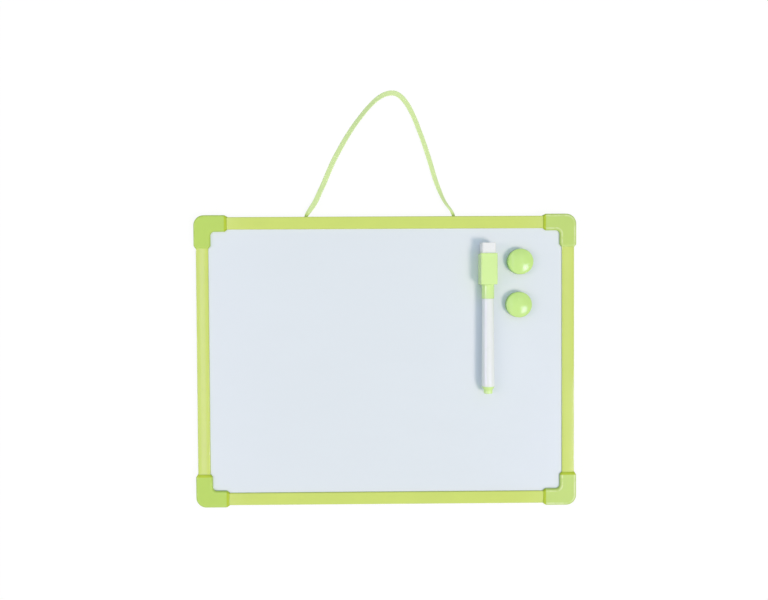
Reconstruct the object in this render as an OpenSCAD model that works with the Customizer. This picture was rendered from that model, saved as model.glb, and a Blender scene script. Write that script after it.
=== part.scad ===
// Small magnetic dry-erase board with a hanging ribbon, a marker and two round magnets.
// The board lies on its back. X runs to the right, Y up the board to the ribbon and
// Z out of the writing face. The origin is under the middle of the board, on the
// surface that its corner caps rest on. All sizes are in millimetres.

/* [Board] */
// Width of the board over its corner caps
board_w = 300; // [250:1:420]
// Height of the board over its corner caps
board_h = 230; // [190:1:320]

/* [Rails] */
// Width of a rail's face
rail_w = 9.7; // [8:0.1:13]
// Thickness of the two lips that hold the panel
lip_t = 1.1; // [0.9:0.1:1.6]
// Thickness of the web along the outer edge
web_t = 1.2; // [0.9:0.1:2]
// Depth of the chamber behind the web
chamber_w = 3; // [2.4:0.1:4]
// Thickness of the two ribs that the panel's edge stops on
rib_t = 0.8; // [0.5:0.1:1.2]
// Height of each rib
rib_h = 1.2; // [0.8:0.1:1.6]
// Radius of the long edges
rail_edge_r = 0.8; // [0.4:0.1:0.9]
// Rise of the face in its middle
rail_crown = 0.2; // [0.1:0.05:0.3]

/* [Corner caps] */
// Length of an arm up to its mouth
cap_arm = 24; // [20:0.5:32]
// Length of the bevelled mouth
cap_mouth = 2; // [1:0.1:3]
// Wall over the face and the back of a rail
cap_face_t = 1.1; // [0.9:0.1:2]
// Wall along the outer edge of a rail
cap_side_t = 1.4; // [1:0.1:2.5]
// Lip that laps over the inner edge of a rail
cap_lip_t = 1.7; // [1:0.1:2.5]
// Wall between the two rail ends
cap_web_t = 1; // [0.8:0.1:2]
// Thickness left at the very edge of a mouth
cap_land = 0.25; // [0.1:0.05:0.5]
// Radius of the outer corner, seen from the front
cap_corner_r = 8; // [5:0.5:10]
// Radius of the inner corner, seen from the front
cap_inner_r = 3; // [1:0.5:5]
// Radius of the long edges
cap_edge_r = 1.4; // [0.8:0.1:2]
// Length of the lug that enters a rail's chamber
lug_l = 9; // [5:0.5:11]

/* [Panel] */
// Thickness of the coated steel writing sheet
sheet_t = 0.3; // [0.2:0.05:0.6]
// Thickness of the core board
core_t = 5; // [4:0.5:8]
// Thickness of the backing sheet
backing_t = 0.3; // [0.2:0.05:0.8]

/* [Hanging ribbon] */
// Width of the ribbon where it lies open
ribbon_w = 4; // [3:0.5:5]
// Thickness of the ribbon
ribbon_t = 0.5; // [0.3:0.05:0.7]
// Width of the ribbon where it is gathered into a hole
gathered_w = 1.8; // [1.4:0.1:2.2]

/* [Marker] */
// From the board's right edge to the marker's axis
marker_from_right = 70.6; // [40:0.1:120]
// From the board's top edge to the top of the marker's cap
marker_from_top = 31.3; // [25:0.1:60]
// Width of the cap's block
block_w = 13; // [11:0.5:16]
// Height of the cap's block off the board
block_h = 13; // [11:0.5:16]
// Length of the cap's block
block_l = 24.1; // [22:0.1:32]
// Radius of the block's long edges
block_edge_r = 1.2; // [1:0.1:2.8]
// Length of the cap's round sleeve
sleeve_l = 10.9; // [10.4:0.1:16]
// Wall of the sleeve
sleeve_wall = 1; // [0.8:0.1:1.5]
// Wall of the block around the eraser
eraser_wall = 1; // [0.8:0.1:2]
// Length of the eraser that stands out of the block
eraser_out = 8.3; // [5:0.1:12]
// Radius of the eraser's long edges
eraser_edge_r = 0.8; // [0.3:0.1:1.5]
// Depth of the eraser's seat in the block
eraser_seat = 2; // [1:0.5:3]
// Width of the magnet strip in the back of the block
strip_w = 9; // [6:0.5:10]
// Length of the magnet strip
strip_l = 16; // [10:0.5:20]
// Thickness of the magnet strip
strip_t = 1.5; // [1:0.1:1.8]
// Length of the white barrel
barrel_l = 68.1; // [55:0.1:90]
// Bore of the barrel
barrel_bore = 6.9; // [6:0.1:8.2]
// Wall of the barrel at its front end
barrel_wall = 1; // [0.8:0.1:1.4]
// How much wider the barrel is at its rear end
barrel_flare = 1.2; // [0.4:0.1:2]
// Length of the neck that the sleeve grips
neck_l = 9; // [7:0.5:10]
// Step from the barrel's bore up to the neck, on the radius
neck_step = 0.3; // [0.2:0.05:0.5]
// Length of the nib holder's nose
nose_l = 5; // [3:0.5:6]
// Step from the neck down to the nose, on the radius
nose_step = 0.5; // [0.2:0.1:0.8]
// Diameter at the tip of the nose
nose_tip_d = 4.6; // [4.2:0.1:5.6]
// Diameter of the nib
nib_d = 3.1; // [2:0.1:3.4]
// Length of nib in front of the nose
nib_out = 6; // [3:0.5:7]
// Whole length of the nib
nib_l = 30; // [26:0.5:36]
// Depth of the pieces pressed into the two ends of the barrel
insert_l = 8; // [5:0.5:10]
// Gap around the ink reservoir
reservoir_gap = 0.25; // [0.1:0.05:0.5]
// Room between the reservoir and the end plug
reservoir_room = 2; // [1:0.5:4]
// Room in the cap in front of the nib
nib_room = 1.5; // [0.5:0.1:2]
// Length of the end plug's sloping shoulder
plug_shoulder_l = 3; // [1.5:0.1:5]
// Length of the end plug's round tip
plug_tip_l = 2.7; // [1.5:0.1:6]
// Diameter of the end plug's round tip
plug_tip_d = 6.8; // [5:0.1:8]
// Radius of the tip's edge
plug_tip_r = 0.8; // [0.3:0.1:1.2]

/* [Round magnets] */
// Diameter of a round magnet
magnet_d = 20; // [16:0.5:26]
// Height of its straight side
magnet_side_h = 5; // [3.6:0.1:8]
// Rise of its domed top above the side
magnet_dome_h = 2.4; // [1:0.1:4]
// Radius of its rim
magnet_rim_r = 1; // [0.6:0.1:1.6]
// Diameter of the ferrite disc in its back
disc_d = 15; // [10:0.5:15]
// Thickness of the ferrite disc
disc_t = 3; // [2:0.1:3.2]
// Depth of the hollow above the disc
shell_hollow = 1.2; // [0.4:0.1:1.6]
// Width of the ledge that the disc is glued against
disc_ledge = 1; // [0.5:0.1:2]
// From the board's right edge to the upper magnet
magnet_upper_from_right = 44.7; // [26:0.1:48]
// From the board's top edge to the upper magnet
magnet_upper_from_top = 37.5; // [25:0.1:46]
// From the board's right edge to the lower magnet
magnet_lower_from_right = 45.9; // [26:0.1:48]
// From the board's top edge to the lower magnet
magnet_lower_from_top = 71.2; // [63:0.1:150]

/* [Fits] */
// Gap around a rail and a lug in a corner cap
cap_fit = 0.1; // [0.05:0.05:0.2]
// Gap around the panel in its slot
panel_fit = 0.1; // [0.05:0.05:0.2]
// Gap around the neck in the cap's sleeve, on the radius
neck_fit = 0.05; // [0.03:0.01:0.08]
// Gap around a pressed or glued piece, on the radius
press_fit = 0.05; // [0.03:0.01:0.1]
// Gap around the nose and the nib inside the cap
nose_gap = 0.3; // [0.2:0.1:0.4]
// Gap around a knot in the rail's chamber
knot_gap = 0.2; // [0.1:0.05:0.3]
// Gap around the gathered ribbon in its hole
hole_gap = 0.3; // [0.1:0.05:0.4]

/* [Hidden] */
$fn = 64;
over = 1; // how far a cutting shape runs past the face that it cuts

// Frame: a rail lies inset from the caps' outer faces, between their front and back walls
panel_t = backing_t + core_t + sheet_t;
slot_t = panel_t + 2 * panel_fit;
rail_t = slot_t + 2 * lip_t;
rail_inset = cap_side_t + cap_fit;
rail_z = cap_face_t + cap_fit;
slot_u = web_t + chamber_w + rib_t;
slot_z = rail_z + lip_t;
cap_t = rail_t + 2 * rail_z;
cap_w = rail_inset + rail_w + cap_fit + cap_lip_t;
pocket_start = cap_side_t + rail_w + 2 * cap_fit + cap_web_t;
rail_setback = pocket_start + cap_fit;
panel_inset = rail_inset + slot_u + panel_fit;
face_z = slot_z + panel_fit + panel_t;

// Marker, along its own axis: 0 is the top of the cap's block and it runs down to minus
neck_d = barrel_bore + 2 * neck_step;
sleeve_bore = neck_d + 2 * neck_fit;
sleeve_d = sleeve_bore + 2 * sleeve_wall;
barrel_front_d = barrel_bore + 2 * barrel_wall;
barrel_rear_d = barrel_front_d + barrel_flare;
insert_d = barrel_bore - 2 * press_fit;
nose_base_d = neck_d - 2 * nose_step;
nose_bore = nose_base_d + 2 * nose_gap;
eraser_w = block_w - 2 * eraser_wall;
eraser_h = block_h - 2 * eraser_wall;
sleeve_end = -block_l - sleeve_l;
barrel_start = sleeve_end - press_fit;
barrel_end = barrel_start - barrel_l;
neck_end = barrel_start + neck_l;
nose_end = neck_end + nose_l;
nib_tip = nose_end + nib_out;
nib_end = nib_tip - nib_l;
reservoir_end = barrel_end + insert_l + reservoir_room;
marker_at = [board_w / 2 - marker_from_right, board_h / 2 - marker_from_top, face_z + block_h / 2];

// Round magnets
magnet_h = magnet_side_h + magnet_dome_h;
dome_r = (pow(magnet_d / 2, 2) + pow(magnet_dome_h, 2)) / (2 * magnet_dome_h);
magnet_upper_at = [board_w / 2 - magnet_upper_from_right, board_h / 2 - magnet_upper_from_top, face_z];
magnet_lower_at = [board_w / 2 - magnet_lower_from_right, board_h / 2 - magnet_lower_from_top, face_z];

// Ribbon: gathered to a thicker, narrower strip where it goes through a hole
gather_slack = 1.1; // a gathered section over a flat one, for the air in its folds
ribbon_edge = 0.4; // how far the ribbon's edges are rounded, as a share of its thickness
ribbon_clear = 0.02; // gap under the ribbon where it lies on the surface
gathered_t = gather_slack * ribbon_w * ribbon_t / gathered_w;
hole_d = norm([gathered_w, gathered_t]) + 2 * hole_gap;
hole_z = slot_z + slot_t / 2;
knot_t = chamber_w - 2 * knot_gap;
knot_d = slot_t - 2 * knot_gap;
rail_top_y = board_h / 2 - rail_inset;
knot_face_y = -web_t - knot_gap / 2; // a knot's outer face, from the outer edge of the top rail
ribbon_steps = 2;

// Route of the ribbon's middle, from the left hole over the top to the right hole.
// Each point: X, Y above the outer edge of the top rail, height of the middle (0 lets it lie
// on the surface), lean in degrees with the upper edge inwards, and how far it is gathered.
ribbon_route = [
    [-62.9, knot_face_y, hole_z, 40, 1],
    [-62.9, 0.2, hole_z, 40, 1],
    [-62.6, 2.3, hole_z, 36, 0.8],
    [-61.7, 4.5, 5.1, 28, 0.45],
    [-60.2, 6.6, 4.8, 20, 0.15],
    [-58.2, 9.2, 4.3, 14, 0],
    [-56, 12.4, 3.6, 10, 0],
    [-53.5, 17, 2.7, 10, 0],
    [-51.2, 22, 1.8, 14, 0],
    [-49, 26.5, 1, 20, 0],
    [-45.2, 36, 0, 24, 0],
    [-41.2, 45.5, 0, 28, 0],
    [-36.2, 55.2, 0, 32, 0],
    [-30.8, 64.8, 0, 36, 0],
    [-24.5, 74.2, 0, 40, 0],
    [-17.2, 83.6, 0, 42, 0],
    [-12, 89.4, 0, 40, 0],
    [-6.9, 94, 0, 34, 0],
    [-2, 97.2, 0, 24, 0],
    [2.9, 98.9, 0, 14, 0],
    [8, 98.8, 0, 8, 0],
    [12.7, 96.2, 0, 10, 0],
    [16.5, 92, 0, 18, 0],
    [19.6, 87.2, 0, 24, 0],
    [23.7, 78.6, 0, 32, 0],
    [27.3, 69.2, 0, 34, 0],
    [30.9, 59.5, 0, 32, 0],
    [35.6, 45, 0, 30, 0],
    [39.8, 31, 0.6, 30, 0],
    [43.2, 21.6, 1.6, 34, 0.05],
    [45.2, 16.6, 2.4, 40, 0.1],
    [47.2, 12.4, 3.2, 46, 0.2],
    [49.3, 9.2, 4, 50, 0.35],
    [51.3, 6.5, 4.6, 54, 0.55],
    [52.8, 4.5, 5, 56, 0.8],
    [53.8, 2.3, hole_z, 58, 1],
    [54.1, 0.2, hole_z, 60, 1],
    [54.1, knot_face_y, hole_z, 60, 1]
];
hole_left_x = ribbon_route[0][0];
hole_right_x = ribbon_route[len(ribbon_route) - 1][0];

rail_green = [0.80, 0.87, 0.44];
corner_green = [0.73, 0.85, 0.40];
ribbon_green = [0.80, 0.90, 0.60];
accessory_green = [0.80, 0.93, 0.55];
plain_white = [0.93, 0.94, 0.96];

// ---- Shapes that repeat ----

// Rectangle with round corners, one corner at the origin
module round_rect(w, h, r) {
    translate([r, 0]) square([w - 2 * r, h]);
    translate([0, r]) square([w, h - 2 * r]);
    for (x = [r, w - r], y = [r, h - r])
        translate([x, y]) circle(r);
}

// Rectangle with round corners, centred on the origin
module centred_round_rect(w, h, r) {
    translate([-w / 2, -h / 2]) round_rect(w, h, r);
}

// Extrudes a profile drawn in Y and Z along X, from x0 over a length
module along_x(x0, length) {
    translate([x0, 0, 0]) rotate([90, 0, 90]) linear_extrude(length) children();
}

// Extrudes a profile drawn in X and Z along Y, from y0 up over a length
module along_y(y0, length) {
    translate([0, y0 + length, 0]) rotate([90, 0, 0]) linear_extrude(length) children();
}

// Round bar or cone along Y, from y0 up over a length
module bar_y(y0, length, d0, d1 = undef) {
    translate([0, y0 + length, 0]) rotate([90, 0, 0])
        cylinder(h = length, d1 = is_undef(d1) ? d0 : d1, d2 = d0);
}

// ---- Frame ----

// Section of a rail: Y runs in from its outer edge and Z up from its back
module rail_section() {
    crown_r = (pow(rail_w / 2, 2) + pow(rail_crown, 2)) / (2 * rail_crown);
    difference() {
        intersection() {
            round_rect(rail_w, rail_t, rail_edge_r);
            translate([rail_w / 2, rail_t - crown_r]) circle(crown_r, $fn = 720);
        }
        translate([slot_u, lip_t]) square([rail_w, slot_t]);
        translate([web_t, lip_t]) square([chamber_w, slot_t]);
        translate([web_t, lip_t + rib_h]) square([rail_w, slot_t - 2 * rib_h]);
    }
}

// A rail along X with its outer edge at Y = 0 and the board above it in Y
module rail(length) {
    translate([0, 0, rail_z]) along_x(-length / 2, length) rail_section();
}

module rail_top() {
    color(rail_green) difference() {
        translate([0, rail_top_y, 0]) rotate([0, 0, 180]) rail(board_w - 2 * rail_setback);
        for (x = [hole_left_x, hole_right_x])
            translate([x, rail_top_y - web_t - over, hole_z]) bar_y(0, web_t + 2 * over, hole_d);
    }
}

module rail_bottom() {
    color(rail_green) translate([0, rail_inset - board_h / 2, 0]) rail(board_w - 2 * rail_setback);
}

// Left rail with side = -1, right rail with side = 1
module upright_rail(side) {
    color(rail_green) translate([side * (board_w / 2 - rail_inset), 0, 0])
        rotate([0, 0, side * 90]) rail(board_h - 2 * rail_setback);
}

// Runs its children along X and again along Y, as the two arms of a corner
module both_arms() {
    children();
    mirror([1, -1, 0]) children();
}

// Solid outer form of a corner cap: two arms, a round outer corner and an inner fillet
module cap_form() {
    fillet_reach = 4.5;
    both_arms() along_x(cap_corner_r, cap_arm + cap_mouth - cap_corner_r)
        round_rect(cap_w, cap_t, cap_edge_r);
    translate([cap_corner_r, cap_corner_r, 0]) rotate([0, 0, 180]) rotate_extrude(angle = 90)
        intersection() {
            translate([-cap_corner_r, 0]) round_rect(2 * cap_corner_r, cap_t, cap_edge_r);
            square([cap_corner_r, cap_t]);
        }
    translate([cap_w + cap_inner_r, cap_w + cap_inner_r, 0]) rotate([0, 0, 180])
        rotate_extrude(angle = 90) translate([cap_inner_r, 0]) intersection() {
            round_rect(2 * fillet_reach, cap_t, cap_edge_r);
            square([fillet_reach, cap_t]);
        }
}

// What the bevels of one mouth take off: front, back, outer side and inner side
module mouth_bevels() {
    end = cap_arm + cap_mouth;
    face_drop = cap_face_t - cap_land;
    for (z = [0, 1])
        translate([0, 0, z * cap_t]) mirror([0, 0, z]) along_y(-over, cap_w + 2 * over)
            polygon([[cap_arm, 0], [end, face_drop], [end + over, face_drop], [end + over, -over],
                     [cap_arm, -over]]);
    for (side = [[0, cap_side_t - cap_land], [1, cap_lip_t - cap_land]])
        translate([0, side[0] * cap_w, -over]) mirror([0, side[0], 0]) linear_extrude(cap_t + 2 * over)
            polygon([[cap_arm, 0], [end, side[1]], [end + over, side[1]], [end + over, -over],
                     [cap_arm, -over]]);
}

// A corner cap with its outer corner at the origin and its arms along X and Y
module corner_cap() {
    long = cap_arm + cap_mouth + over;
    color(corner_green) {
        difference() {
            cap_form();
            both_arms() {
                mouth_bevels();
                translate([pocket_start, cap_side_t, cap_face_t])
                    cube([long, rail_w + 2 * cap_fit, cap_t - 2 * cap_face_t]);
            }
            translate([rail_inset + slot_u, rail_inset + slot_u, slot_z]) cube([long, long, slot_t]);
        }
        both_arms() translate([pocket_start, rail_inset + web_t + cap_fit, slot_z + cap_fit])
            cube([cap_fit + lug_l, chamber_w - 2 * cap_fit, slot_t - 2 * cap_fit]);
    }
}

// Puts a corner cap at a corner of the board: x and y are -1 or 1, turn fits its arms
module place_corner(x, y, turn) {
    translate([x * board_w / 2, y * board_h / 2, 0]) rotate([0, 0, turn]) corner_cap();
}

// ---- Panel ----

module panel_layer(z0, thickness, tint) {
    w = board_w - 2 * panel_inset;
    h = board_h - 2 * panel_inset;
    color(tint) translate([-w / 2, -h / 2, slot_z + panel_fit + z0]) cube([w, h, thickness]);
}

// ---- Hanging ribbon ----

// Point between b and c on a smooth curve through a, b, c and d
function curve_point(a, b, c, d, t) =
    0.5 * (2 * b + (c - a) * t + (2 * a - 5 * b + 4 * c - d) * t * t
           + (3 * b - a - 3 * c + d) * t * t * t);

function route_at(i) = ribbon_route[max(0, min(len(ribbon_route) - 1, i))];

ribbon_stations = concat(
    [for (i = [0:len(ribbon_route) - 2], s = [0:ribbon_steps - 1])
        curve_point(route_at(i - 1), route_at(i), route_at(i + 1), route_at(i + 2), s / ribbon_steps)],
    [ribbon_route[len(ribbon_route) - 1]]);

function half_width(p) = (ribbon_w + (gathered_w - ribbon_w) * p[4]) / 2;
function half_thick(p) = (ribbon_t + (gathered_t - ribbon_t) * p[4]) / 2;

// Middle of the ribbon at a station, no lower than lying on the surface lets it be
function ribbon_middle(p) =
    [p[0], p[1] + rail_top_y,
     max(p[2], half_width(p) * sin(p[3]) + half_thick(p) * cos(p[3]) + ribbon_clear)];

// Section of the ribbon as eight corners, width first
function ribbon_corners(w, t) = let (c = ribbon_edge * t)
    [[w, c - t], [w, t - c], [w - c, t], [c - w, t], [-w, t - c], [-w, c - t], [c - w, -t], [w - c, -t]];

// One ring of the ribbon, square to its run and leaned over. Both ends meet a knot square on
function ribbon_ring(i) =
    let (
        n = len(ribbon_stations),
        p = ribbon_stations[i],
        run = i == 0 ? [0, 1, 0]
            : i == n - 1 ? [0, -1, 0]
            : ribbon_middle(ribbon_stations[i + 1]) - ribbon_middle(ribbon_stations[i - 1]),
        ahead = run / norm(run),
        flat = cross(ahead, [0, 0, 1]),
        inward = flat / norm(flat),
        up = cross(inward, ahead),
        across = cos(p[3]) * inward + sin(p[3]) * up,
        proud = cos(p[3]) * up - sin(p[3]) * inward
    )
    [for (c = ribbon_corners(half_width(p), half_thick(p))) ribbon_middle(p) + c[0] * across + c[1] * proud];

module hanging_ribbon() {
    n = len(ribbon_stations);
    sides = 8;
    points = [for (i = [0:n - 1]) each ribbon_ring(i)];
    walls = [for (i = [0:n - 2], k = [0:sides - 1])
        let (a = i * sides + k, b = i * sides + (k + 1) % sides)
            each [[a, b, b + sides], [a, b + sides, a + sides]]];
    ends = [for (k = [1:sides - 2])
        each [[0, k + 1, k], [(n - 1) * sides, (n - 1) * sides + k, (n - 1) * sides + k + 1]]];
    color(ribbon_green) polyhedron(points = points, faces = concat(walls, ends));
}

// Flat stop knot in the top rail's chamber, its outer face against the web
module ribbon_knot(x) {
    color(ribbon_green) translate([x, rail_top_y + knot_face_y - knot_t, hole_z]) rotate([-90, 0, 0])
        rotate_extrude() {
            square([(knot_d - knot_t) / 2, knot_t]);
            intersection() {
                translate([(knot_d - knot_t) / 2, knot_t / 2]) circle(knot_t / 2);
                square([knot_d, knot_t]);
            }
        }
}

// ---- Marker ----

module marker_cap() {
    color(accessory_green) translate(marker_at) difference() {
        union() {
            along_y(-block_l, block_l) centred_round_rect(block_w, block_h, block_edge_r);
            bar_y(sleeve_end, sleeve_l + over, sleeve_d);
        }
        bar_y(sleeve_end - over, neck_l + 2 * over, sleeve_bore);
        bar_y(sleeve_end, nib_tip - sleeve_end + nib_room, nose_bore);
        along_y(-eraser_seat, eraser_seat + over)
            square([eraser_w + 2 * press_fit, eraser_h + 2 * press_fit], center = true);
        translate([-strip_w / 2 - press_fit, -(block_l + strip_l) / 2 - press_fit, -block_h / 2 - over])
            cube([strip_w + 2 * press_fit, strip_l + 2 * press_fit, strip_t + press_fit + over]);
    }
}

module marker_cap_magnet() {
    color([0.22, 0.22, 0.23]) translate(marker_at)
        translate([-strip_w / 2, -(block_l + strip_l) / 2, -block_h / 2])
            cube([strip_w, strip_l, strip_t]);
}

module marker_eraser() {
    color(plain_white) translate(marker_at) along_y(-eraser_seat, eraser_seat + eraser_out)
        centred_round_rect(eraser_w, eraser_h, eraser_edge_r);
}

module marker_barrel() {
    color(plain_white) translate(marker_at) difference() {
        bar_y(barrel_end, barrel_l, barrel_rear_d, barrel_front_d);
        bar_y(barrel_end - over, barrel_l + 2 * over, barrel_bore);
    }
}

module marker_end_plug() {
    tip_end = barrel_end - plug_shoulder_l - plug_tip_l;
    color(accessory_green) translate(marker_at) {
        bar_y(barrel_end, insert_l, insert_d);
        bar_y(barrel_end - plug_shoulder_l, plug_shoulder_l, plug_tip_d, barrel_rear_d);
        translate([0, tip_end, 0]) rotate([-90, 0, 0]) rotate_extrude() {
            square([plug_tip_d / 2 - plug_tip_r, plug_tip_l]);
            translate([0, plug_tip_r]) square([plug_tip_d / 2, plug_tip_l - plug_tip_r]);
            translate([plug_tip_d / 2 - plug_tip_r, plug_tip_r]) circle(plug_tip_r);
        }
    }
}

module marker_ink_reservoir() {
    color([0.30, 0.31, 0.33]) translate(marker_at)
        bar_y(reservoir_end, nib_end - reservoir_end, barrel_bore - 2 * reservoir_gap);
}

module marker_nib_holder() {
    color([0.90, 0.91, 0.92]) translate(marker_at) difference() {
        union() {
            bar_y(barrel_start - insert_l, insert_l, insert_d);
            bar_y(barrel_start, neck_l, neck_d);
            bar_y(neck_end, nose_l, nose_base_d, nose_tip_d);
        }
        bar_y(barrel_start - insert_l - over, nose_end - barrel_start + insert_l + 2 * over,
              nib_d + 2 * press_fit);
    }
}

module marker_nib() {
    color([0.12, 0.12, 0.14]) translate(marker_at) {
        bar_y(nib_end, nib_l - nib_d / 2, nib_d);
        translate([0, nib_tip - nib_d / 2, 0]) sphere(d = nib_d);
    }
}

// ---- Round magnets ----

// Half section of the domed shell: a side, a spherical top and a round rim tangent to both
module magnet_section() {
    r = magnet_d / 2;
    sphere_y = magnet_h - dome_r;
    rim_y = sphere_y + sqrt(pow(dome_r - magnet_rim_r, 2) - pow(r - magnet_rim_r, 2));
    meet_r = (r - magnet_rim_r) * dome_r / (dome_r - magnet_rim_r);
    square([r, rim_y]);
    translate([r - magnet_rim_r, rim_y]) circle(magnet_rim_r);
    intersection() {
        translate([0, sphere_y]) circle(dome_r, $fn = 360);
        square([meet_r, magnet_h]);
    }
}

module magnet_shell(at) {
    color(accessory_green) translate(at) difference() {
        rotate_extrude() magnet_section();
        translate([0, 0, -over]) cylinder(h = disc_t + press_fit + over, d = disc_d + 2 * press_fit);
        cylinder(h = disc_t + shell_hollow, d = disc_d - 2 * disc_ledge);
    }
}

module magnet_disc(at) {
    color([0.20, 0.20, 0.21]) translate(at) cylinder(h = disc_t, d = disc_d);
}

rail_top();
rail_bottom();
upright_rail(-1);  // rail_left
upright_rail(1);  // rail_right
place_corner(-1, 1, 270);  // corner_top_left
place_corner(1, 1, 180);  // corner_top_right
place_corner(-1, -1, 0);  // corner_bottom_left
place_corner(1, -1, 90);  // corner_bottom_right
panel_layer(backing_t + core_t, sheet_t, plain_white);  // writing_sheet
panel_layer(backing_t, core_t, [0.72, 0.62, 0.48]);  // core_board
panel_layer(0, backing_t, [0.88, 0.88, 0.86]);  // backing_sheet
hanging_ribbon();
ribbon_knot(hole_left_x);  // ribbon_knot_left
ribbon_knot(hole_right_x);  // ribbon_knot_right
marker_cap();
marker_cap_magnet();
marker_eraser();
marker_barrel();
marker_end_plug();
marker_ink_reservoir();
marker_nib_holder();
marker_nib();
magnet_shell(magnet_upper_at);  // magnet_upper_shell
magnet_disc(magnet_upper_at);  // magnet_upper_disc
magnet_shell(magnet_lower_at);  // magnet_lower_shell
magnet_disc(magnet_lower_at);  // magnet_lower_disc
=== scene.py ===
"""Looks of a small hanging magnetic dry-erase board, modelled around its packed construction.

The board lies on its back under a studio camera. X runs to the right, Y up the board to its hanging
ribbon and Z out of the writing face. Pieces are shaped in millimetres and brought to metres when they
are finished.
"""

import logging
import math
from collections.abc import Callable, Sequence
from dataclasses import dataclass, field
from enum import Enum
from itertools import accumulate
from typing import Any

import bmesh
import bpy
from mathutils import Matrix, Vector


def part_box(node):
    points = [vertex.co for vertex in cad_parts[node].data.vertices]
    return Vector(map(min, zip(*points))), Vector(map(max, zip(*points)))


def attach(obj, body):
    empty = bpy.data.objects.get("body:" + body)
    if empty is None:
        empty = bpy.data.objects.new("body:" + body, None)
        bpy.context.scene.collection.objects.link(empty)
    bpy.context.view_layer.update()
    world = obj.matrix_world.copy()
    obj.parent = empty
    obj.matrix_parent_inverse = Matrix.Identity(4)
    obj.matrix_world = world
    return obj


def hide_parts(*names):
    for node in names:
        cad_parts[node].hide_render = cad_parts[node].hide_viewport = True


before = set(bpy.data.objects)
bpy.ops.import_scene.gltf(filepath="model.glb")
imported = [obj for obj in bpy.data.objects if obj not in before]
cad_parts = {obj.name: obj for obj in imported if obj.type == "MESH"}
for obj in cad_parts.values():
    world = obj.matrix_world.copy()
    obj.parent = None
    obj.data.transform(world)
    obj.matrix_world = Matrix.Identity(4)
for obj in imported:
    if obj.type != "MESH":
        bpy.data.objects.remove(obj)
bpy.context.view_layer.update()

log = logging.getLogger("whiteboard")

MM = 0.001
Colour = tuple[float, float, float]
Point = tuple[float, float, float]
Flat = tuple[float, float]
Test = Callable[[Vector, Vector], bool]
Piece = bpy.types.Object
NEAR = 0.01  # two places closer than this are the same, in millimetres
PARALLEL = 0.9  # least share of a direction along an axis for it to run along that axis


# ---- Shader nodes as expressions ----


def linear(colour: Colour) -> tuple[float, float, float, float]:
    """Scene-linear colour with alpha, of an sRGB colour written from 0 to 1."""
    return (*(c / 12.92 if c <= 0.04045 else ((c + 0.055) / 1.055) ** 2.4 for c in colour), 1.0)


def operation(name: str, swapped: bool = False) -> Callable[..., "Signal"]:
    """Makes a method that puts a signal and its operands into a Math node.

    Args:
        name: The node's operation.
        swapped: Whether the signal comes last, so that 1 - mask works.

    Returns:
        The method.
    """

    def method(self: "Signal", *others: "Signal | float") -> "Signal":
        """What the node gives."""
        return self.nodes.maths(name, *((*others, self) if swapped else (self, *others)))

    return method


class Signal:
    """A shader socket that takes part in Python expressions. Wave is its sine, in radians."""

    __add__ = __radd__ = operation("ADD")
    __mul__ = __rmul__ = operation("MULTIPLY")
    __sub__ = operation("SUBTRACT")
    __rsub__ = operation("SUBTRACT", swapped=True)
    __truediv__ = operation("DIVIDE")
    __pow__ = operation("POWER")
    __abs__ = operation("ABSOLUTE")
    wave = operation("SINE")

    def __init__(self, nodes: "Nodes", socket: bpy.types.NodeSocket | None) -> None:
        """Keeps the socket and the nodes that it belongs to."""
        self.nodes = nodes
        self.socket = socket

    def above(self, low: float, high: float) -> "Signal":
        """Mask that rises smoothly from 0 at low to 1 at high."""
        ends = {"Value": self, "From Min": low, "From Max": high}
        return self.nodes.node("MapRange", ends, {"interpolation_type": "SMOOTHSTEP"})

    def between(self, low: float, high: float, soft: float) -> "Signal":
        """Mask that is 1 from low to high, with a soft edge outside each."""
        return self.above(low - soft, low) * (1 - self.above(high, high + soft))


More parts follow.
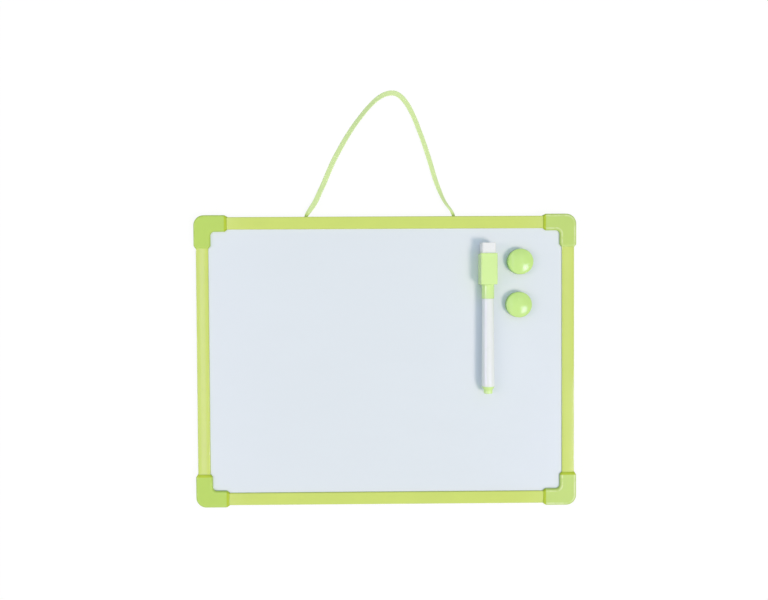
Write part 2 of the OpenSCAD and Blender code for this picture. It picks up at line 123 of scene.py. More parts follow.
class Nodes:
    """The nodes of one material or world, made one at a time."""

    def __init__(self, tree: bpy.types.NodeTree) -> None:
        """Empties the tree."""
        self.tree = tree
        tree.nodes.clear()

    @staticmethod
    def socket(sockets: Any, key: str | int) -> bpy.types.NodeSocket:
        """Finds a socket by its number, or the first one in use that has this name, or any name."""
        named = (s for s in sockets if s.enabled and key in ("", s.name))
        return sockets[key] if isinstance(key, int) else next(named)

    def node(self, kind: str, inputs: dict | None = None, settings: dict | None = None,
             output: str = "") -> Signal:
        """Makes a node.

        Args:
            kind: Type of the node, without its ShaderNode prefix.
            inputs: Values or signals by the input's name or number.
            settings: Attributes, such as an operation, which are set first.
            output: Name of the output to give back, or none for the first.

        Returns:
            The output, which is empty on a node that has none.
        """
        made = self.tree.nodes.new("ShaderNode" + kind)
        for key, value in (settings or {}).items():
            setattr(made, key, value)
        for key, value in (inputs or {}).items():
            socket = self.socket(made.inputs, key)
            if isinstance(value, Signal):
                self.tree.links.new(value.socket, socket)
            else:
                socket.default_value = value
        return Signal(self, self.socket(made.outputs, output) if made.outputs else None)

    def show(self, shader: Signal, kind: str = "OutputMaterial") -> None:
        """Leads a shader to the output."""
        self.node(kind, {"Surface": shader})

    def maths(self, operation: str, *values: Signal | float) -> Signal:
        """A Math node on values or signals."""
        return self.node("Math", dict(enumerate(values)), {"operation": operation})

    def place(self) -> Signal:
        """Where a point is on the object, in metres."""
        return self.node("TexCoord", output="Object")

    def stretch(self, vector: Signal, scale: Point) -> Signal:
        """A vector with its parts multiplied."""
        return self.node("VectorMath", {0: vector, 1: scale}, {"operation": "MULTIPLY"})

    def part(self, vector: Signal, axis: str) -> Signal:
        """The X, Y or Z part of a vector."""
        return self.node("SeparateXYZ", {"Vector": vector}, output=axis)

    def noise(self, vector: Signal, scale: float, detail: float = 2.0, rough: float = 0.5) -> Signal:
        """Smooth noise from 0 to 1."""
        return self.node("TexNoise", {"Vector": vector, "Scale": scale, "Detail": detail, "Roughness": rough})

    def blend(self, factor: Signal, first: Any, second: Any) -> Signal:
        """The first colour where factor is 0, and the second where it is 1."""
        return self.node("Mix", {"Factor": factor, "A": first, "B": second}, {"data_type": "RGBA"})

    def tones(self, factor: Signal, colour: Colour, spread: float) -> Signal:
        """A colour that varies in lightness by a share either way."""
        ends = [linear(tuple(min(1.0, c * (1 + side * spread)) for c in colour)) for side in (-1, 1)]
        return self.blend(factor, *ends)

    def bump(self, height: Signal, depth: float) -> Signal:
        """Normal of a height from 0 to 1, over a depth in metres."""
        return self.node("Bump", {"Height": height, "Distance": depth, "Strength": 1.0})


# ---- Finishes ----


class Pattern(Enum):
    """What a layer of a finish is made of."""

    NOISE = "smooth noise"
    CELLS = "cells like sintered grains"


class Run(Enum):
    """The way that a rail was extruded, by how fine its die lines are along X, Y and Z."""

    ACROSS = (6.0, 2400.0, 2400.0)
    UP = (2400.0, 6.0, 2400.0)


@dataclass(frozen=True)
class Layer:
    """One pattern of a finish, and its share in the finish's tone, dullness and relief.

    Its scale is one number, or one each along X, Y and Z where the pattern is drawn out. Detail and
    coarse set how much fine noise lies in it. Where it has a span, it counts in full above that range
    and not at all below it.
    """

    scale: float | Point
    detail: float = 2.0
    coarse: float = 0.5
    span: Flat | None = None
    tone: float = 0.0
    dull: float = 0.0
    relief: float = 0.0
    pattern: Pattern = Pattern.NOISE

    def signal(self, nodes: Nodes) -> Signal:
        """Makes the pattern.

        Args:
            nodes: The material's nodes.

        Returns:
            The pattern, from 0 to 1.
        """
        place, scale = nodes.place(), self.scale
        if self.pattern is Pattern.CELLS:
            return nodes.node("TexVoronoi", {"Vector": place, "Scale": scale}, output="Distance")
        if isinstance(scale, tuple):
            place, scale = nodes.stretch(place, scale), 1.0
        noise = nodes.noise(place, scale, self.detail, self.coarse)
        return noise.above(*self.span) if self.span else noise


@dataclass(frozen=True)
class Finish:
    """A finish, made into one material of procedural nodes from its layers.

    Spread is how far its colour varies either way, dull its roughness under the layers, depth the height
    of its relief in metres, level its specular level and sheen its sheen.
    """

    name: str
    colour: Colour
    layers: tuple[Layer, ...] = ()
    spread: float = 0.02
    dull: float = 0.15
    depth: float = 0.000002
    level: float = 0.5
    sheen: float = 0.0

    def material(self) -> bpy.types.Material:
        """Makes the material once.

        Returns:
            The material, which may be the one that was made before.
        """
        made = bpy.data.materials.get("look_" + self.name)
        if made is None:
            made = bpy.data.materials.new("look_" + self.name)
            made.use_nodes = True
            nodes = Nodes(made.node_tree)
            nodes.show(nodes.node("BsdfPrincipled", self.sockets(nodes)))
        return made

    def sockets(self, nodes: Nodes) -> dict[str, Any]:
        """Adds up the layers.

        Args:
            nodes: The material's nodes.

        Returns:
            What the shader's sockets hold, by their names.
        """
        sums: dict[str, Any] = {"tone": 0.0, "dull": self.dull, "relief": 0.0}
        for layer in self.layers:
            signal = layer.signal(nodes)
            for use in sums:
                share = getattr(layer, use)
                if share:
                    sums[use] = signal * share + sums[use]
        return {
            "Base Color": nodes.tones(sums["tone"], self.colour, self.spread),
            "Roughness": sums["dull"],
            "Specular IOR Level": self.level,
            "Sheen Weight": self.sheen,
            "Normal": nodes.bump(sums["relief"], self.depth),
        }


@dataclass(frozen=True)
class CapPlastic(Finish):
    """The caps' plastic, with painted shade in a deeper, yellower green on their mouths.

    The mouths are where a cap is nearest to the middle of the board along X, in metres, and on the lower
    caps along Y too, leaving out the downward mouths of the upper caps, which face the lamp. The right hand
    caps carry a painted sheen that makes them a little paler, and patchy painted highlights along the lines
    where their flat faces turn over, at the board's outline and at the inner one.
    """

    # Painted shade on the mouths, in a deeper, yellower green
    lip: Colour = (0.70, 0.79, 0.20)
    mouth_x: float = 0.1262
    mouth_y: float = 0.0912
    fade: float = 0.0006
    # Painted highlight lines: their colour, strength, and the patchy noise that breaks them up
    painted_lighting_colour: Colour = (0.90, 0.94, 0.76)
    highlight_strength: float = 0.55
    patches: float = 260.0
    patchy: Flat = (0.25, 0.60)
    # Painted sheen that makes the right hand caps paler, and how strongly it is laid on
    painted_sheen: Colour = (0.80, 0.86, 0.62)
    painted_sheen_share: float = 0.24
    # Where along X the painted sheen and highlights rise towards the lamp's side, and how the highlights lean
    # to the bottom right
    lit_side: Flat = (-0.12, 0.13)
    slant: float = 0.6
    half: Flat = (0.150, 0.115)
    corner_r: float = 0.008
    width: float = 0.013
    inner_r: float = 0.003
    line: Flat = (0.0014, 0.0019)

    def rounded(self, nodes: Nodes, reach: Flat, radius: float) -> Signal:
        """Measures how far a point is outside an outline about the middle of the board.

        Args:
            nodes: The material's nodes.
            reach: How far the outline is from the middle, along X and Y.
            radius: The radius of its corners.

        Returns:
            The distance in metres, less than 0 inside.
        """
        place = nodes.place()
        past = [abs(nodes.part(place, axis)) - (r - radius) for axis, r in zip("XY", reach)]
        outside = [nodes.maths("MAXIMUM", p, 0.0) for p in past]
        return (outside[0] ** 2 + outside[1] ** 2) ** 0.5 - radius

    def sockets(self, nodes: Nodes) -> dict[str, Any]:
        """Lays the painted sheen, the painted highlight lines and the mouths' painted shade over the moulded
        skin.

        Args:
            nodes: The material's nodes.

        Returns:
            What the shader's sockets hold, by their names.
        """
        skin = super().sockets(nodes)
        place = nodes.place()
        x, y = nodes.part(place, "X"), nodes.part(place, "Y")
        inner = tuple(h - self.width for h in self.half)
        # Painted highlight lines along the rounded outer and inner edges, strongest towards the bottom right
        outer_highlight_line = (self.rounded(nodes, self.half, self.corner_r) * -1).between(*self.line, self.fade)
        inner_highlight_line = self.rounded(nodes, inner, self.inner_r).between(*self.line, self.fade)
        patchy = nodes.noise(place, self.patches).above(*self.patchy)
        highlight_mask = patchy * (x - y * self.slant).above(*self.lit_side) * self.highlight_strength
        highlight_mask = nodes.maths("MAXIMUM", outer_highlight_line, inner_highlight_line) * highlight_mask
        # Painted sheen over the right hand caps, on the lamp's side
        sheen_mask = x.above(*self.lit_side) * self.painted_sheen_share
        # Painted shade on every mouth but the downward ones of the upper caps, which face the lamp
        lower_shaded_mouth = y.between(self.fade - self.mouth_y, 0.0, self.fade)
        lip = 1 - abs(x).above(self.mouth_x - self.fade, self.mouth_x) * (1 - lower_shaded_mouth)
        for mask, colour in ((sheen_mask, self.painted_sheen), (highlight_mask, self.painted_lighting_colour), (lip, self.lip)):
            skin["Base Color"] = nodes.blend(mask, skin["Base Color"], linear(colour))
        return skin


@dataclass(frozen=True)
class ButtonPlastic(Finish):
    """The round magnets' plastic, with painted shade in a deeper green on its straight side under the dome.

    The painted shade ends at a height above the table, in metres.
    """

    # Painted shade on the straight side, and where it ends
    side: Colour = (0.60, 0.785, 0.36)
    shade_top: float = 0.0125
    fade: float = 0.0006

    def sockets(self, nodes: Nodes) -> dict[str, Any]:
        """Paints shade in the side's deeper colour on the skin under the rim.

        Args:
            nodes: The material's nodes.

        Returns:
            What the shader's sockets hold, by their names.
        """
        skin = super().sockets(nodes)
        above_shade = nodes.part(nodes.place(), "Z").above(self.shade_top, self.shade_top + self.fade)
        skin["Base Color"] = nodes.blend(above_shade, linear(self.side), skin["Base Color"])
        return skin


@dataclass(frozen=True)
class WovenRibbon(Finish):
    """Narrow woven ribbon: weft ribs across it, warp threads along it and a firm edge on each side.

    Its UV map runs across the ribbon from 0 to 1, and along it in millimetres. Near the rail, where it is
    gathered into the holes, it carries painted shade in a darker colour.
    """

    rib: float = 0.42
    threads: float = 15.0
    edge: Flat = (0.40, 0.44)
    # Painted shade near the rail: where it ends along Y, in metres, and its colour
    root: Flat = (0.1137, 0.1185)
    painted_lighting_colour: Colour = (0.74, 0.84, 0.46)

    def sockets(self, nodes: Nodes) -> dict[str, Any]:
        """Makes the threads from the UV map, with slubs from noise.

        Args:
            nodes: The material's nodes.

        Returns:
            What the shader's sockets hold, by their names.
        """
        way = nodes.node("UVMap", settings={"uv_map": "weave"})
        across, along = nodes.part(way, "X"), nodes.part(way, "Y")
        edge = abs(across - 0.5).above(*self.edge)
        warp = (across * (self.threads * math.tau)).wave() * 0.5 + 0.5
        weft = (along * (math.tau / self.rib) + edge * math.pi).wave() * 0.5 + 0.5
        slubs = nodes.noise(nodes.stretch(way, (9.0, 0.35, 1.0)), 1.0, 3.0)
        height = weft * 0.55 + warp * weft * 0.35 + edge * 0.25 + slubs * 0.2
        woven = nodes.tones(height * 0.55 + slubs * 0.6 - 0.05, self.colour, self.spread)
        # Painted shade where the ribbon is gathered into the holes
        root = 1 - nodes.part(nodes.place(), "Y").above(*self.root)
        return {
            "Base Color": nodes.blend(root, woven, linear(self.painted_lighting_colour)),
            "Roughness": slubs * 0.15 + self.dull,
            "Normal": nodes.bump(height, self.depth),
            "Specular IOR Level": self.level,
            "Sheen Weight": self.sheen,
            "Sheen Roughness": 0.4,
        }


RAIL_GREEN: Colour = (0.795, 0.865, 0.425)
RIBBON_GREEN: Colour = (0.843, 0.932, 0.66)


def rail_plastic(run: Run) -> Finish:
    """Makes satin plastic with die lines, slow clouds of colour and a faint grain.

    Args:
        run: The way of its die lines.

    Returns:
        The finish.
    """
    lines = Layer(run.value, tone=0.3, dull=0.03, relief=1.0)
    clouds = Layer(34.0, 3.0, tone=0.7, dull=0.03)
    grain = Layer(5200.0, relief=1 / 3)
    name = "rail_plastic_" + run.name.lower()
    return Finish(name, RAIL_GREEN, (lines, clouds, grain), 0.025, 0.08, 0.000006)


# Injection-moulded plastic: flow clouds, a fine mould grain and light scuffs
MOULDED = (
    Layer(75.0, tone=0.8, dull=0.06),
    Layer(4200.0, tone=0.1, relief=1.0),
    Layer((900.0, 160.0, 500.0), 3.0, 0.6, (0.62, 0.74), tone=0.3, dull=0.10),
)
# Dry-erase coating: faint orange peel, slow waves in the steel and traces of wiping
COATING = (
    Layer(620.0, relief=0.1),
    Layer(16.0, 1.0, tone=0.5, relief=1.0),
    Layer((14.0, 60.0, 1.0), 4.0, 0.6, tone=0.5, dull=0.06),
)
# Matt sheet with a paper-like tooth and mottling
FILM = (Layer(2600.0, 3.0, tone=0.3, relief=1.0), Layer(60.0, 4.0, 0.6, tone=0.7, dull=0.14))
# Raw fibreboard: short matted fibres in two directions and darker flecks
MATTED = (
    Layer((700.0, 2600.0, 2600.0), 3.0, tone=0.5, dull=0.1, relief=1.0),
    Layer((2600.0, 700.0, 2600.0), 3.0, tone=0.5, relief=1.0),
    Layer(900.0, span=(0.60, 0.72), tone=-0.3),
)
# Ribbon pulled tight into a knot: strands that wind round it
KNOTTED = (Layer((900.0, 5200.0, 900.0), tone=1.0, dull=0.1, relief=1.0),)
# Dense felt: loose crossed fibres over soft lumps
FELTED = (
    Layer((1800.0, 5200.0, 3600.0), 4.0, 0.65, tone=0.6, relief=0.7),
    Layer(900.0, 3.0, tone=0.4, dull=0.1, relief=0.6),
)
# Flexible magnet strip: fine rolled lines along its length, and dust
CALENDERED = (
    Layer((5200.0, 90.0, 900.0), tone=0.6, dull=0.2, relief=1.0),
    Layer(1500.0, 3.0, span=(0.58, 0.75), tone=1.0),
)
# Sintered ferrite, ground on its flat faces: grains, grinding marks and pits
SINTERED = (
    Layer(2600.0, tone=0.6, relief=0.4, pattern=Pattern.CELLS),
    Layer((300.0, 5200.0, 300.0), tone=0.5, dull=0.18, relief=0.3),
    Layer(1900.0, span=(0.66, 0.74), tone=-0.6, dull=0.2, relief=-1.0),
)
# Pressed fibres along the pen, wet with ink in places
SOAKED = (Layer((5200.0, 320.0, 5200.0), 3.0, tone=1.0, relief=1.0), Layer(420.0, dull=0.35))

ACROSS_RAIL = rail_plastic(Run.ACROSS)
UP_RAIL = rail_plastic(Run.UP)
CORNER = CapPlastic("corner_plastic", (0.727, 0.845, 0.395), MOULDED, dull=0.30, depth=0.000006, level=0.35)
ACCESSORY = Finish("accessory_plastic", (0.836, 0.96, 0.627), MOULDED, dull=0.12)
BUTTON = ButtonPlastic("button_plastic", (0.778, 0.922, 0.548), MOULDED)
BARREL = Finish("barrel_plastic", (0.922, 0.943, 0.94), MOULDED, 0.01, 0.16)
STEEL = Finish("coated_steel", (0.872, 0.904, 0.932), COATING, 0.008, 0.20, 0.00004, 0.25)
BACKING = Finish("backing_film", (0.88, 0.89, 0.89), FILM, 0.03, 0.62, 0.000012)
CORE = Finish("core_fibreboard", (0.66, 0.55, 0.40), MATTED, 0.16, 0.82, 0.00006)
RIBBON = WovenRibbon("ribbon_weave", RIBBON_GREEN, (), 0.035, 0.55, 0.000016, 0.2, 0.2)
KNOT = Finish("ribbon_knot", RIBBON_GREEN, KNOTTED, 0.10, 0.6, 0.00008)
FELT = Finish("eraser_felt", (0.928, 0.938, 0.943), FELTED, 0.04, 0.86, 0.00010, sheen=0.3)
STRIP = Finish("magnet_strip", (0.16, 0.16, 0.17), CALENDERED, 0.22, 0.48, 0.00002)
FERRITE = Finish("ferrite", (0.21, 0.21, 0.22), SINTERED, 0.25, 0.42, 0.00004, 0.7)
INK = Finish("ink_fibre", (0.07, 0.07, 0.085), SOAKED, 0.35, 0.32, 0.00004)


# ---- Shaping ----


class Pick(Enum):
    """What an operator works on."""

    VERT = 0
    EDGE = 1
    FACE = 2


class Join(Enum):
    """How one shape is combined with another."""

    ADD = "UNION"
    CUT = "DIFFERENCE"


def corners(node: str) -> tuple[Vector, Vector]:
    """The lowest and the highest corner of a node, in millimetres."""
    low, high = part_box(node)
    return low / MM, high / MM


def along(direction: Vector, axis: str) -> bool:
    """Tells whether a direction runs along an axis, either way."""
    return abs(getattr(direction, axis)) > PARALLEL


def arc(middle: Flat, radius: float, start: float, end: float, steps: int) -> list[Flat]:
    """Points on an arc, from a start to an end angle in degrees, both ends with it."""
    angles = [math.radians(start + (end - start) * i / steps) for i in range(steps + 1)]
    return [(middle[0] + radius * math.cos(a), middle[1] + radius * math.sin(a)) for a in angles]


class Work:
    """A shape on the bench, in millimetres, worked in edit mode on what is picked in code.

    Most methods give the shape back, so that steps can follow each other on a line.
    """

    MERGE = 0.0005
    ON_PLANE = 0.0001
    FACE_WEIGHT = 60

    def __init__(self, name: str) -> None:
        """Takes over the primitive that was just added."""
        self.piece = bpy.context.object
        self.piece.name = name
        bpy.ops.object.transform_apply(location=True, rotation=True, scale=True)
        bpy.ops.object.mode_set(mode="EDIT")

    @staticmethod
    def clear() -> None:
        """Leaves edit mode and deselects everything."""
        if bpy.context.mode != "OBJECT":
            bpy.ops.object.mode_set(mode="OBJECT")
        bpy.ops.object.select_all(action="DESELECT")

    @classmethod
    def hold(cls, piece: Piece) -> None:
        """Makes a piece the only one that is selected, and the active one."""
        cls.clear()
        piece.select_set(True)
        bpy.context.view_layer.objects.active = piece

    @classmethod
    def block(cls, name: str, low: Point, high: Point) -> "Work":
        """Starts from a cube that fills a box.

        Args:
            name: The shape's name.
            low: The box's lowest corner.
            high: Its highest corner.

        Returns:
            The shape.
        """
        cls.clear()
        middle, size = (Vector(low) + Vector(high)) / 2, Vector(high) - Vector(low)
        bpy.ops.mesh.primitive_cube_add(size=1, location=middle, scale=size)
        return cls(name)

    @classmethod
    def drawn(cls, name: str, outline: Sequence[Point]) -> "Work":
        """Draws a chain of edges by extruding one point along an outline.

        Args:
            name: The shape's name.
            outline: The points.

        Returns:
            The shape.
        """
        cls.clear()
        bpy.ops.mesh.primitive_plane_add(size=1)
        work = cls(name).all()
        bpy.ops.mesh.merge(type="CENTER")
        bpy.ops.transform.translate(value=outline[0])
        for here, there in zip(outline, outline[1:]):
            work.extrude(Vector(there) - Vector(here))
        return work

    @classmethod
    def prism(cls, name: str, outline: Sequence[Point], run: Point) -> "Work":
        """Fills a closed outline and extrudes it.

        Args:
            name: The shape's name.
            outline: Its points, the first one not repeated.
            run: Way and length of the extrusion.

        Returns:
            The shape.
        """
        work = cls.drawn(name, outline).all()
        bpy.ops.mesh.edge_face_add()
        return work.extrude(run).outward()

    @classmethod
    def turned(cls, name: str, outline: Sequence[Flat], steps: int = 96) -> "Work":
        """Spins a half section round the Z axis.

        Args:
            name: The shape's name.
            outline: Radius and height of each point.
            steps: How many flats go round it.

        Returns:
            The shape.
        """
        work = cls.drawn(name, [(radius, 0.0, height) for radius, height in outline]).all()
        bpy.ops.mesh.spin(steps=steps, angle=math.tau, center=(0, 0, 0), axis=(0, 0, 1))
        return work.outward()

    def all(self) -> "Work":
        """Picks everything, by its vertices."""
        bpy.context.tool_settings.mesh_select_mode = (True, False, False)
        bpy.ops.mesh.select_all(action="SELECT")
        return self

    def outward(self) -> "Work":
        """Merges doubles and turns every face outwards."""
        self.all()
        bpy.ops.mesh.remove_doubles(threshold=self.MERGE)
        bpy.ops.mesh.normals_make_consistent(inside=False)
        return self

    def pick(self, kind: Pick, test: Test) -> "Work":
        """Picks the vertices, edges or faces whose middle and direction pass a test.

        Args:
            kind: What is picked.
            test: Gets the middle, and the normal or an edge's direction.

        Returns:
            This shape.
        """
        bpy.context.tool_settings.mesh_select_mode = [k is kind for k in Pick]
        bpy.ops.mesh.select_all(action="DESELECT")
        mesh = bmesh.from_edit_mesh(self.piece.data)
        if kind is Pick.VERT:
            found = [v for v in mesh.verts if test(v.co, v.normal)]
        elif kind is Pick.EDGE:
            ends = [(e, e.verts[0].co, e.verts[1].co) for e in mesh.edges]
            found = [e for e, a, b in ends if test((a + b) / 2, (b - a).normalized())]
        else:
            found = [f for f in mesh.faces if test(f.calc_center_median(), f.normal)]
        for element in found:
            element.select = True
        mesh.select_flush_mode()
        bmesh.update_edit_mesh(self.piece.data)
        if not found:
            raise ValueError(f"nothing was picked on {self.piece.name}")
        return self

    def extrude(self, run: Point) -> "Work":
        """Extrudes what is picked."""
        bpy.ops.mesh.extrude_region_move(TRANSFORM_OT_translate={"value": run})
        return self

    def inset(self, thickness: float) -> "Work":
        """Insets the picked faces."""
        bpy.ops.mesh.inset(thickness=thickness)
        return self

    def bevel(self, offset: float, segments: int) -> "Work":
        """Rounds the picked edges."""
        bpy.ops.mesh.bevel(offset=offset, segments=segments, affect="EDGES", clamp_overlap=False)
        return self

    def bisect(self, place: Point, normal: Point) -> "Work":
        """Adds the edges where a plane crosses the shape."""
        self.all()
        bpy.ops.mesh.bisect(plane_co=place, plane_no=normal, threshold=self.ON_PLANE)
        return self

    def scale(self, factors: Point, middle: Point) -> "Work":
        """Scales what is picked about a point."""
        bpy.ops.transform.resize(value=factors, center_override=middle)
        return self

    def move(self, matrix: Matrix) -> "Work":
        """Moves or turns the whole mesh."""
        self.clear()
        self.piece.data.transform(matrix)
        return self

    def apply(self, kind: str, **settings: Any) -> "Work":
        """Adds a modifier and applies it.

        Args:
            kind: The modifier's type.
            settings: Its attributes.

        Returns:
            This shape.
        """
        self.hold(self.piece)
        modifier = self.piece.modifiers.new(kind.lower(), kind)
        for key, value in settings.items():
            setattr(modifier, key, value)
        bpy.ops.object.modifier_apply(modifier=modifier.name)
        return self

    def combine(self, other: "Work", how: Join) -> "Work":
        """Adds another shape to this one, or cuts it out.

        Args:
            other: The other shape, which is used up.
            how: Which of the two.

        Returns:
            This shape.
        """
        self.apply("BOOLEAN", object=other.piece, operation=how.value, solver="EXACT")
        bpy.data.objects.remove(other.piece)
        return self

    def copy(self, name: str) -> "Work":
        """Copies the shape.

        Args:
            name: The copy's name.

        Returns:
            The copy, with its own mesh.
        """
        self.clear()
        twin = object.__new__(Work)
        twin.piece = self.piece.copy()
        twin.piece.data = self.piece.data.copy()
        twin.piece.name = name
        bpy.context.scene.collection.objects.link(twin.piece)
        return twin

    def finish(self, look: Finish, body: str, slot: str, *nodes: str, angle: float = 32.0) -> Piece:
        """Smooths the shape, brings it to metres, dresses it and hands it to its body.

        Args:
            look: Its finish.
            body: The body that it moves with.
            slot: The record's material slot.
            nodes: The construction's nodes that it stands for.
            angle: Edges sharper than this stay sharp, in degrees.

        Returns:
            The finished piece.
        """
        self.hold(self.piece)
        bpy.ops.object.shade_smooth_by_angle(angle=math.radians(angle))
        self.apply("WEIGHTED_NORMAL", keep_sharp=True, weight=self.FACE_WEIGHT)
        self.piece.data.transform(Matrix.Scale(MM, 4))
        return dress(self.piece, look, body, slot, *nodes)


def cover(piece: Piece, finish: Finish) -> None:
    """Gives a piece one finish all over."""
    piece.data.materials.clear()
    piece.data.materials.append(finish.material())


def dress(piece: Piece, finish: Finish, body: str, slot: str, *nodes: str) -> Piece:
    """Gives a piece its finish and its place in the whole.

    Args:
        piece: The piece, in metres.
        finish: Its finish.
        body: The body that it moves with.
        slot: The record's material slot, which is not used.
        nodes: The construction's nodes that it stands for.

    Returns:
        The piece.
    """
    cover(piece, finish)
    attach(piece, body)
    if nodes:
        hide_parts(*nodes)
    log.info("%s: %d faces on %s", piece.name, len(piece.data.polygons), body)
    return piece


# ---- Studio ----


@dataclass(frozen=True)
class Lamp:
    """A square or oblong softbox, aimed at the marker's side of the board."""

    name: str
    lean: Flat
    size: Flat
    share: float
    tint: Colour
    height: float
    aim: Point = (0.10, 0.05, 0.01)

    def build(self) -> None:
        """Hangs the lamp where it gives its share of a level at which white renders white."""
        away = Vector((*self.lean, 1.0)) * self.height
        data = bpy.data.lights.new(self.name, "AREA")
        data.shape = "RECTANGLE"
        data.size, data.size_y = self.size
        data.energy = self.share * math.pi ** 2 * away.length ** 3 / away.z
        data.color = self.tint
        lamp = bpy.data.objects.new(self.name, data)
        lamp.location = Vector(self.aim) + away
        lamp.visible_glossy = False
        lamp.rotation_mode = "QUATERNION"
        lamp.rotation_quaternion = away.to_track_quat("Z", "Y")
        bpy.context.scene.collection.objects.link(lamp)


@dataclass(frozen=True)
class Patch:
    """A bright patch of the surround that only gloss shows, by its lean along X and Y from overhead."""

    x: Flat
    y: Flat
    glow: Colour
    soft: float = 0.02


@dataclass
class Studio:
    """Camera above the board, two softboxes, a pale surround and a white floor.

    Gloss shows a pale ceiling over darker walls, which ends at these X and Y parts of a ray's direction.
    The surround's light is weakest level with the table, and the floor turns plain white over a range of
    distances in metres.
    """

    eye: Point = (-0.00443, 0.0560, 0.4588)
    turn_deg: Point = (-1.027, -0.409, -0.310)
    lens: float = 26.85
    sensor: float = 36.0
    ambient: Colour = (0.490, 0.594, 0.663)
    bounce: Colour = (0.80, 0.82, 0.84)
    horizon_level: float = 1 / 3
    below: Flat = (-0.1, 0.0)
    ceiling_level: float = 1.0
    wall_level: float = 0.3
    ceiling_x: Flat = (0.38, 0.50)
    ceiling_y: Flat = (-0.65, 0.35)
    ceiling_fade: float = 0.16
    overhead: Flat = (0.0, 0.01)
    patches: tuple[Patch, ...] = (
        Patch((-0.337, -0.283), (-1.0, 1.0), (1.8, 1.4, 3.2)),
        Patch((0.283, 0.337), (-1.0, 1.0), (0.7, 0.6, 1.3)),
        Patch((0.44, 0.86), (-0.60, -0.19), (7.0, 6.3, 12.0), 0.05),
        Patch((-1.90, -0.95), (-0.45, 0.35), (7.0, 5.6, 9.5), 0.10),
    )
    floor_size: float = 12.0
    floor_drop: float = 0.00005
    floor_paint: Colour = (0.96, 0.96, 0.96)
    floor_glow: float = 1.01
    floor_lift: float = 0.92
    floor_fade: Flat = (0.5, 1.6)
    lamps: tuple[Lamp, ...] = (
        Lamp("key_softbox", (0.56, -0.39), (2.08, 2.08), 0.44, (1.0, 0.80, 0.67), 6.0),
        Lamp("left_strip", (-1.17, 0.0), (0.78, 1.80), 0.095, (1.0, 0.74, 0.58), 2.4),
    )

    def build(self) -> None:
        """Makes the camera first, then what lights the board and what it lies on."""
        self.camera()
        for lamp in self.lamps:
            lamp.build()
        self.world()
        self.floor()
        bpy.context.scene.view_settings.view_transform = "Standard"

    def camera(self) -> None:
        """The photograph's view: nearly straight down, from above the upper half of the board."""
        data = bpy.data.cameras.new("camera")
        data.lens, data.sensor_width = self.lens, self.sensor
        camera = bpy.data.objects.new("camera", data)
        camera.location = self.eye
        camera.rotation_euler = [math.radians(a) for a in self.turn_deg]
        bpy.context.scene.collection.objects.link(camera)
        bpy.context.scene.camera = camera

    def surround(self, nodes: Nodes, way: Signal) -> Signal:
        """Makes what the surround looks like.

        Args:
            nodes: The world's nodes.
            way: The direction of a ray.

        Returns:
            White from the camera, and off gloss the ceiling, the walls and the bright patches.
        """
        x, y, z = (nodes.part(way, axis) for axis in "XYZ")
        ceiling = (1 - abs(x).above(*self.ceiling_x)) * y.between(*self.ceiling_y, self.ceiling_fade)
        shown = ceiling * (self.ceiling_level - self.wall_level) + self.wall_level
        lean_x, lean_y, up = x / z, y / z, z.above(*self.overhead)
        for patch in self.patches:
            mask = lean_x.between(*patch.x, patch.soft) * lean_y.between(*patch.y, patch.soft) * up
            glow = nodes.blend(mask, (0, 0, 0, 1), (*patch.glow, 1))
            shown = nodes.node("VectorMath", {0: shown, 1: glow}, {"operation": "ADD"})
        mirrored = nodes.node("LightPath", output="Is Glossy Ray")
        return nodes.blend(mirrored, (1, 1, 1, 1), shown)

    @staticmethod
    def seen(nodes: Nodes) -> Signal:
        """1 for rays that show the background: from the camera, off gloss or through glass."""
        kinds = ("Camera", "Glossy", "Transmission")
        camera, gloss, glass = (nodes.node("LightPath", output=f"Is {kind} Ray") for kind in kinds)
        return nodes.maths("MINIMUM", camera + gloss + glass, 1.0)

    def world(self) -> None:
        """White where it is seen, and elsewhere a cool light from above over what the table throws back."""
        world = bpy.data.worlds.new("surround")
        world.use_nodes = True
        nodes = Nodes(world.node_tree)
        way = nodes.node("TexCoord", output="Generated")
        up = nodes.part(way, "Z")
        tint = nodes.blend(up.above(*self.below), linear(self.bounce), (*self.ambient, 1.0))
        lit = nodes.node("Background", {"Color": tint, "Strength": abs(up) + self.horizon_level})
        white = nodes.node("Background", {"Color": self.surround(nodes, way)})
        nodes.show(nodes.node("MixShader", {0: self.seen(nodes), 1: lit, 2: white}), "OutputWorld")
        bpy.context.scene.world = world

    def floor(self) -> None:
        """A white floor that keeps the board's shadow, and that isn't seen from below."""
        Work.clear()
        bpy.ops.mesh.primitive_plane_add(size=self.floor_size, location=(0, 0, -self.floor_drop))
        floor = bpy.context.object
        floor.name = "floor"
        floor.visible_shadow = floor.visible_diffuse = False
        material = bpy.data.materials.new("white_floor")
        material.use_nodes = True
        nodes = Nodes(material.node_tree)
        paint = nodes.node("BsdfDiffuse", {"Color": (*self.floor_paint, 1.0)})
        white = nodes.node("Emission", {"Color": (1.0, 1.0, 1.0, 1.0), "Strength": self.floor_glow})
        away = nodes.node("VectorMath", {0: nodes.place()}, {"operation": "LENGTH"}, "Value")
        lift = away.above(*self.floor_fade) * (1 - self.floor_lift) + self.floor_lift
        shown = nodes.node("MixShader", {0: self.seen(nodes) * lift, 1: paint, 2: white})
        clear = nodes.node("BsdfTransparent")
        underneath = nodes.node("NewGeometry", output="Backfacing")
        nodes.show(nodes.node("MixShader", {0: underneath, 1: shown, 2: clear}))
        floor.data.materials.append(material)


# ---- Hanging ribbon ----


